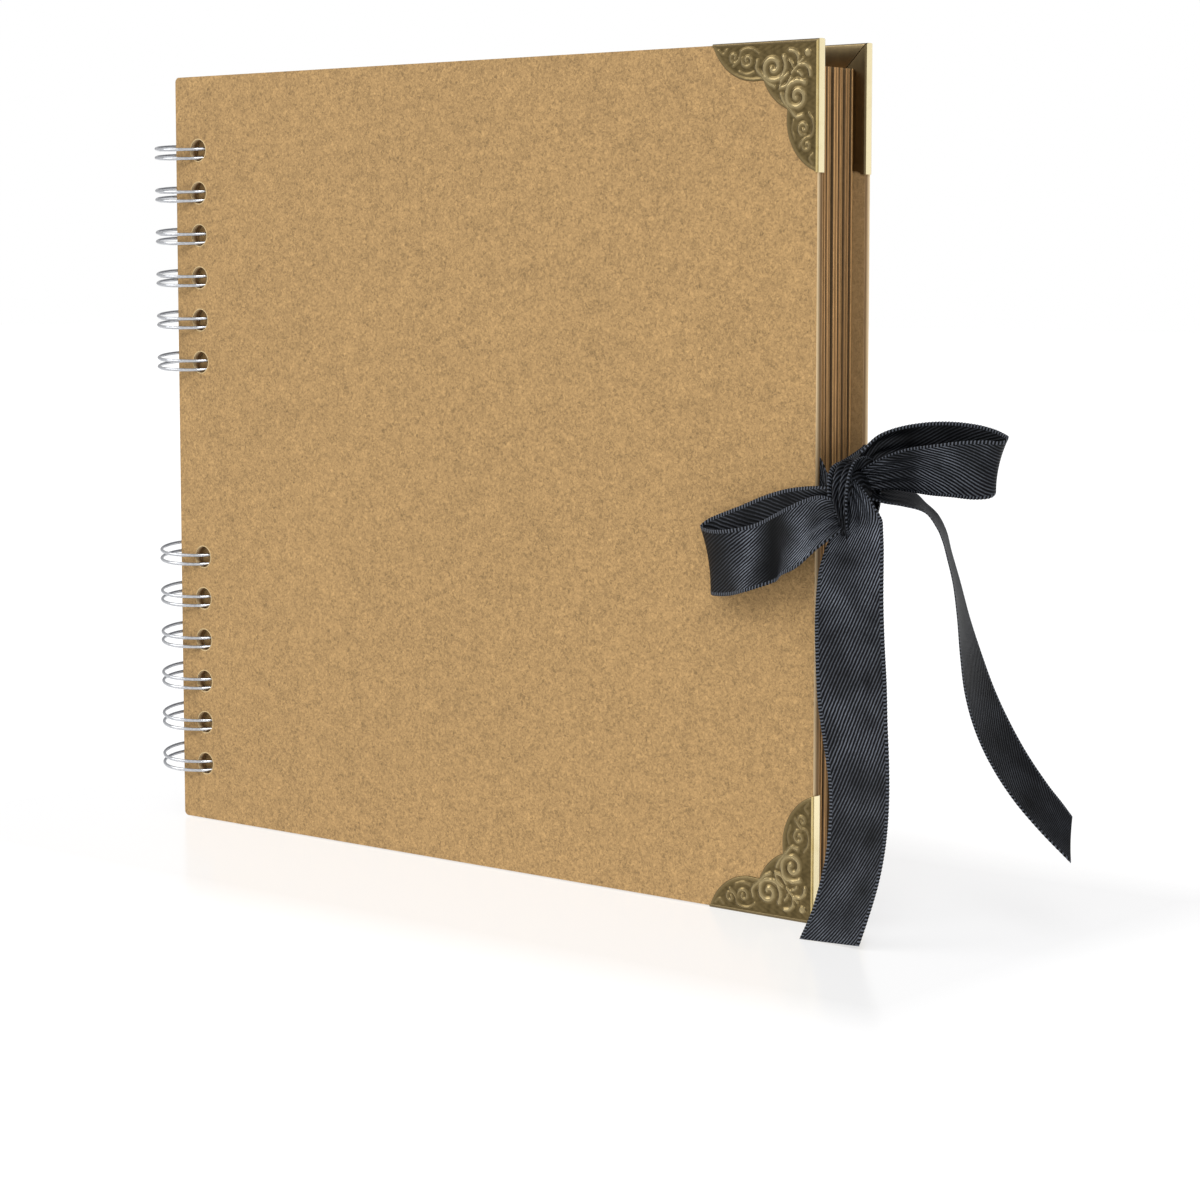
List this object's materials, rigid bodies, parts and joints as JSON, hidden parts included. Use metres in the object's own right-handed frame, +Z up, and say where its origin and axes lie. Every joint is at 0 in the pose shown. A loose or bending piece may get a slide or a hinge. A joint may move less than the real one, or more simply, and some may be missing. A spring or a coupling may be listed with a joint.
{
  "type": "scrapbook album",
  "caption": "Square twin-loop-bound kraft scrapbook album with brass corner caps and a black satin ribbon tied in a bow; its cover and leaves open flat about the wires.",
  "frame": {"origin": "on the bottom edge of the back cover, at the middle of its width and thickness", "axes": "+X from the spine to the fore-edge, +Y out of the back cover, +Z up as the album stands"},
  "size_m": [0.3235, 0.0428, 0.2258],
  "materials": {
    "kraft_cover": "matte",
    "kraft_board": "matte",
    "kraft_leaf": "matte",
    "antique_brass": "satin",
    "bright_wire": "polished",
    "black_satin": "satin"
  },
  "bodies": {
    "back_cover": {"back_cover_core": "kraft_board", "back_cover_facing": "kraft_cover", "back_cover_lining": "kraft_cover", "back_top_corner": "antique_brass", "back_bottom_corner": "antique_brass", "upper_twin_wire": "bright_wire", "lower_twin_wire": "bright_wire", "back_ribbon_lead": "black_satin"},
    "front_cover": {"front_cover_core": "kraft_board", "front_cover_facing": "kraft_cover", "front_cover_lining": "kraft_cover", "front_top_corner": "antique_brass", "front_bottom_corner": "antique_brass", "front_ribbon_lead": "black_satin", "bow_knot": "black_satin", "bow_left_loop": "black_satin", "bow_right_loop": "black_satin", "bow_left_tail": "black_satin", "bow_right_tail": "black_satin"},
    "leaf_01": {"leaf_01": "kraft_leaf"},
    "leaf_02": {"leaf_02": "kraft_leaf"},
    "leaf_03": {"leaf_03": "kraft_leaf"},
    "leaf_04": {"leaf_04": "kraft_leaf"},
    "leaf_05": {"leaf_05": "kraft_leaf"},
    "leaf_06": {"leaf_06": "kraft_leaf"},
    "leaf_07": {"leaf_07": "kraft_leaf"},
    "leaf_08": {"leaf_08": "kraft_leaf"},
    "leaf_09": {"leaf_09": "kraft_leaf"},
    "leaf_10": {"leaf_10": "kraft_leaf"},
    "leaf_11": {"leaf_11": "kraft_leaf"},
    "leaf_12": {"leaf_12": "kraft_leaf"},
    "leaf_13": {"leaf_13": "kraft_leaf"},
    "leaf_14": {"leaf_14": "kraft_leaf"},
    "leaf_15": {"leaf_15": "kraft_leaf"},
    "leaf_16": {"leaf_16": "kraft_leaf"},
    "leaf_17": {"leaf_17": "kraft_leaf"},
    "leaf_18": {"leaf_18": "kraft_leaf"},
    "leaf_19": {"leaf_19": "kraft_leaf"},
    "leaf_20": {"leaf_20": "kraft_leaf"},
    "leaf_21": {"leaf_21": "kraft_leaf"},
    "leaf_22": {"leaf_22": "kraft_leaf"},
    "leaf_23": {"leaf_23": "kraft_leaf"},
    "leaf_24": {"leaf_24": "kraft_leaf"},
    "leaf_25": {"leaf_25": "kraft_leaf"},
    "leaf_26": {"leaf_26": "kraft_leaf"},
    "leaf_27": {"leaf_27": "kraft_leaf"},
    "leaf_28": {"leaf_28": "kraft_leaf"},
    "leaf_29": {"leaf_29": "kraft_leaf"},
    "leaf_30": {"leaf_30": "kraft_leaf"},
    "leaf_31": {"leaf_31": "kraft_leaf"},
    "leaf_32": {"leaf_32": "kraft_leaf"},
    "leaf_33": {"leaf_33": "kraft_leaf"},
    "leaf_34": {"leaf_34": "kraft_leaf"},
    "leaf_35": {"leaf_35": "kraft_leaf"},
    "leaf_36": {"leaf_36": "kraft_leaf"},
    "leaf_37": {"leaf_37": "kraft_leaf"},
    "leaf_38": {"leaf_38": "kraft_leaf"},
    "leaf_39": {"leaf_39": "kraft_leaf"},
    "leaf_40": {"leaf_40": "kraft_leaf"}
  },
  "joints": [
    {"name": "front_cover_hinge", "type": "hinge", "parent": "back_cover", "child": "front_cover", "pos_m": [-0.1183, -0.01056, 0.1125], "axis": [0, 0, -1], "range_deg": [0, 180]},
    {"name": "leaf_01_turn", "type": "hinge", "parent": "back_cover", "child": "leaf_01", "pos_m": [-0.1183, -0.01056, 0.1125], "axis": [0, 0, -1], "range_deg": [0, 179.56]},
    {"name": "leaf_02_turn", "type": "hinge", "parent": "back_cover", "child": "leaf_02", "pos_m": [-0.1183, -0.01056, 0.1125], "axis": [0, 0, -1], "range_deg": [0, 179.11]},
    {"name": "leaf_03_turn", "type": "hinge", "parent": "back_cover", "child": "leaf_03", "pos_m": [-0.1183, -0.01056, 0.1125], "axis": [0, 0, -1], "range_deg": [0, 178.66]},
    {"name": "leaf_04_turn", "type": "hinge", "parent": "back_cover", "child": "leaf_04", "pos_m": [-0.1183, -0.01056, 0.1125], "axis": [0, 0, -1], "range_deg": [0, 178.21]},
    {"name": "leaf_05_turn", "type": "hinge", "parent": "back_cover", "child": "leaf_05", "pos_m": [-0.1183, -0.01056, 0.1125], "axis": [0, 0, -1], "range_deg": [0, 177.76]},
    {"name": "leaf_06_turn", "type": "hinge", "parent": "back_cover", "child": "leaf_06", "pos_m": [-0.1183, -0.01056, 0.1125], "axis": [0, 0, -1], "range_deg": [0, 177.31]},
    {"name": "leaf_07_turn", "type": "hinge", "parent": "back_cover", "child": "leaf_07", "pos_m": [-0.1183, -0.01056, 0.1125], "axis": [0, 0, -1], "range_deg": [0, 176.86]},
    {"name": "leaf_08_turn", "type": "hinge", "parent": "back_cover", "child": "leaf_08", "pos_m": [-0.1183, -0.01056, 0.1125], "axis": [0, 0, -1], "range_deg": [0, 176.41]},
    {"name": "leaf_09_turn", "type": "hinge", "parent": "back_cover", "child": "leaf_09", "pos_m": [-0.1183, -0.01056, 0.1125], "axis": [0, 0, -1], "range_deg": [0, 175.96]},
    {"name": "leaf_10_turn", "type": "hinge", "parent": "back_cover", "child": "leaf_10", "pos_m": [-0.1183, -0.01056, 0.1125], "axis": [0, 0, -1], "range_deg": [0, 175.51]},
    {"name": "leaf_11_turn", "type": "hinge", "parent": "back_cover", "child": "leaf_11", "pos_m": [-0.1183, -0.01056, 0.1125], "axis": [0, 0, -1], "range_deg": [0, 175.06]},
    {"name": "leaf_12_turn", "type": "hinge", "parent": "back_cover", "child": "leaf_12", "pos_m": [-0.1183, -0.01056, 0.1125], "axis": [0, 0, -1], "range_deg": [0, 174.61]},
    {"name": "leaf_13_turn", "type": "hinge", "parent": "back_cover", "child": "leaf_13", "pos_m": [-0.1183, -0.01056, 0.1125], "axis": [0, 0, -1], "range_deg": [0, 174.16]},
    {"name": "leaf_14_turn", "type": "hinge", "parent": "back_cover", "child": "leaf_14", "pos_m": [-0.1183, -0.01056, 0.1125], "axis": [0, 0, -1], "range_deg": [0, 173.71]},
    {"name": "leaf_15_turn", "type": "hinge", "parent": "back_cover", "child": "leaf_15", "pos_m": [-0.1183, -0.01056, 0.1125], "axis": [0, 0, -1], "range_deg": [0, 173.26]},
    {"name": "leaf_16_turn", "type": "hinge", "parent": "back_cover", "child": "leaf_16", "pos_m": [-0.1183, -0.01056, 0.1125], "axis": [0, 0, -1], "range_deg": [0, 172.81]},
    {"name": "leaf_17_turn", "type": "hinge", "parent": "back_cover", "child": "leaf_17", "pos_m": [-0.1183, -0.01056, 0.1125], "axis": [0, 0, -1], "range_deg": [0, 172.36]},
    {"name": "leaf_18_turn", "type": "hinge", "parent": "back_cover", "child": "leaf_18", "pos_m": [-0.1183, -0.01056, 0.1125], "axis": [0, 0, -1], "range_deg": [0, 171.91]},
    {"name": "leaf_19_turn", "type": "hinge", "parent": "back_cover", "child": "leaf_19", "pos_m": [-0.1183, -0.01056, 0.1125], "axis": [0, 0, -1], "range_deg": [0, 171.46]},
    {"name": "leaf_20_turn", "type": "hinge", "parent": "back_cover", "child": "leaf_20", "pos_m": [-0.1183, -0.01056, 0.1125], "axis": [0, 0, -1], "range_deg": [0, 171.01]},
    {"name": "leaf_21_turn", "type": "hinge", "parent": "back_cover", "child": "leaf_21", "pos_m": [-0.1183, -0.01056, 0.1125], "axis": [0, 0, -1], "range_deg": [0, 9.01]},
    {"name": "leaf_22_turn", "type": "hinge", "parent": "back_cover", "child": "leaf_22", "pos_m": [-0.1183, -0.01056, 0.1125], "axis": [0, 0, -1], "range_deg": [0, 8.56]},
    {"name": "leaf_23_turn", "type": "hinge", "parent": "back_cover", "child": "leaf_23", "pos_m": [-0.1183, -0.01056, 0.1125], "axis": [0, 0, -1], "range_deg": [0, 8.11]},
    {"name": "leaf_24_turn", "type": "hinge", "parent": "back_cover", "child": "leaf_24", "pos_m": [-0.1183, -0.01056, 0.1125], "axis": [0, 0, -1], "range_deg": [0, 7.66]},
    {"name": "leaf_25_turn", "type": "hinge", "parent": "back_cover", "child": "leaf_25", "pos_m": [-0.1183, -0.01056, 0.1125], "axis": [0, 0, -1], "range_deg": [0, 7.21]},
    {"name": "leaf_26_turn", "type": "hinge", "parent": "back_cover", "child": "leaf_26", "pos_m": [-0.1183, -0.01056, 0.1125], "axis": [0, 0, -1], "range_deg": [0, 6.76]},
    {"name": "leaf_27_turn", "type": "hinge", "parent": "back_cover", "child": "leaf_27", "pos_m": [-0.1183, -0.01056, 0.1125], "axis": [0, 0, -1], "range_deg": [0, 6.31]},
    {"name": "leaf_28_turn", "type": "hinge", "parent": "back_cover", "child": "leaf_28", "pos_m": [-0.1183, -0.01056, 0.1125], "axis": [0, 0, -1], "range_deg": [0, 5.86]},
    {"name": "leaf_29_turn", "type": "hinge", "parent": "back_cover", "child": "leaf_29", "pos_m": [-0.1183, -0.01056, 0.1125], "axis": [0, 0, -1], "range_deg": [0, 5.41]},
    {"name": "leaf_30_turn", "type": "hinge", "parent": "back_cover", "child": "leaf_30", "pos_m": [-0.1183, -0.01056, 0.1125], "axis": [0, 0, -1], "range_deg": [0, 4.96]},
    {"name": "leaf_31_turn", "type": "hinge", "parent": "back_cover", "child": "leaf_31", "pos_m": [-0.1183, -0.01056, 0.1125], "axis": [0, 0, -1], "range_deg": [0, 4.51]},
    {"name": "leaf_32_turn", "type": "hinge", "parent": "back_cover", "child": "leaf_32", "pos_m": [-0.1183, -0.01056, 0.1125], "axis": [0, 0, -1], "range_deg": [0, 4.06]},
    {"name": "leaf_33_turn", "type": "hinge", "parent": "back_cover", "child": "leaf_33", "pos_m": [-0.1183, -0.01056, 0.1125], "axis": [0, 0, -1], "range_deg": [0, 3.61]},
    {"name": "leaf_34_turn", "type": "hinge", "parent": "back_cover", "child": "leaf_34", "pos_m": [-0.1183, -0.01056, 0.1125], "axis": [0, 0, -1], "range_deg": [0, 3.16]},
    {"name": "leaf_35_turn", "type": "hinge", "parent": "back_cover", "child": "leaf_35", "pos_m": [-0.1183, -0.01056, 0.1125], "axis": [0, 0, -1], "range_deg": [0, 2.71]},
    {"name": "leaf_36_turn", "type": "hinge", "parent": "back_cover", "child": "leaf_36", "pos_m": [-0.1183, -0.01056, 0.1125], "axis": [0, 0, -1], "range_deg": [0, 2.26]},
    {"name": "leaf_37_turn", "type": "hinge", "parent": "back_cover", "child": "leaf_37", "pos_m": [-0.1183, -0.01056, 0.1125], "axis": [0, 0, -1], "range_deg": [0, 1.81]},
    {"name": "leaf_38_turn", "type": "hinge", "parent": "back_cover", "child": "leaf_38", "pos_m": [-0.1183, -0.01056, 0.1125], "axis": [0, 0, -1], "range_deg": [0, 1.36]},
    {"name": "leaf_39_turn", "type": "hinge", "parent": "back_cover", "child": "leaf_39", "pos_m": [-0.1183, -0.01056, 0.1125], "axis": [0, 0, -1], "range_deg": [0, 0.91]},
    {"name": "leaf_40_turn", "type": "hinge", "parent": "back_cover", "child": "leaf_40", "pos_m": [-0.1183, -0.01056, 0.1125], "axis": [0, 0, -1], "range_deg": [0, 0.46]}
  ],
  "couplings": [
    {"joint": "leaf_01_turn", "follows": "front_cover_hinge", "ratio": 0.9975},
    {"joint": "leaf_02_turn", "follows": "front_cover_hinge", "ratio": 0.995},
    {"joint": "leaf_03_turn", "follows": "front_cover_hinge", "ratio": 0.9925},
    {"joint": "leaf_04_turn", "follows": "front_cover_hinge", "ratio": 0.99},
    {"joint": "leaf_05_turn", "follows": "front_cover_hinge", "ratio": 0.9875},
    {"joint": "leaf_06_turn", "follows": "front_cover_hinge", "ratio": 0.985},
    {"joint": "leaf_07_turn", "follows": "front_cover_hinge", "ratio": 0.9825},
    {"joint": "leaf_08_turn", "follows": "front_cover_hinge", "ratio": 0.98},
    {"joint": "leaf_09_turn", "follows": "front_cover_hinge", "ratio": 0.9775},
    {"joint": "leaf_10_turn", "follows": "front_cover_hinge", "ratio": 0.975},
    {"joint": "leaf_11_turn", "follows": "front_cover_hinge", "ratio": 0.9725},
    {"joint": "leaf_12_turn", "follows": "front_cover_hinge", "ratio": 0.97},
    {"joint": "leaf_13_turn", "follows": "front_cover_hinge", "ratio": 0.9675},
    {"joint": "leaf_14_turn", "follows": "front_cover_hinge", "ratio": 0.965},
    {"joint": "leaf_15_turn", "follows": "front_cover_hinge", "ratio": 0.9625},
    {"joint": "leaf_16_turn", "follows": "front_cover_hinge", "ratio": 0.96},
    {"joint": "leaf_17_turn", "follows": "front_cover_hinge", "ratio": 0.9575},
    {"joint": "leaf_18_turn", "follows": "front_cover_hinge", "ratio": 0.955},
    {"joint": "leaf_19_turn", "follows": "front_cover_hinge", "ratio": 0.9525},
    {"joint": "leaf_20_turn", "follows": "front_cover_hinge", "ratio": 0.95},
    {"joint": "leaf_21_turn", "follows": "front_cover_hinge", "ratio": 0.05},
    {"joint": "leaf_22_turn", "follows": "front_cover_hinge", "ratio": 0.0475},
    {"joint": "leaf_23_turn", "follows": "front_cover_hinge", "ratio": 0.045},
    {"joint": "leaf_24_turn", "follows": "front_cover_hinge", "ratio": 0.0425},
    {"joint": "leaf_25_turn", "follows": "front_cover_hinge", "ratio": 0.04},
    {"joint": "leaf_26_turn", "follows": "front_cover_hinge", "ratio": 0.0375},
    {"joint": "leaf_27_turn", "follows": "front_cover_hinge", "ratio": 0.035},
    {"joint": "leaf_28_turn", "follows": "front_cover_hinge", "ratio": 0.0325},
    {"joint": "leaf_29_turn", "follows": "front_cover_hinge", "ratio": 0.03},
    {"joint": "leaf_30_turn", "follows": "front_cover_hinge", "ratio": 0.0275},
    {"joint": "leaf_31_turn", "follows": "front_cover_hinge", "ratio": 0.025},
    {"joint": "leaf_32_turn", "follows": "front_cover_hinge", "ratio": 0.0225},
    {"joint": "leaf_33_turn", "follows": "front_cover_hinge", "ratio": 0.02},
    {"joint": "leaf_34_turn", "follows": "front_cover_hinge", "ratio": 0.0175},
    {"joint": "leaf_35_turn", "follows": "front_cover_hinge", "ratio": 0.015},
    {"joint": "leaf_36_turn", "follows": "front_cover_hinge", "ratio": 0.0125},
    {"joint": "leaf_37_turn", "follows": "front_cover_hinge", "ratio": 0.01},
    {"joint": "leaf_38_turn", "follows": "front_cover_hinge", "ratio": 0.0075},
    {"joint": "leaf_39_turn", "follows": "front_cover_hinge", "ratio": 0.005},
    {"joint": "leaf_40_turn", "follows": "front_cover_hinge", "ratio": 0.0025}
  ]
}
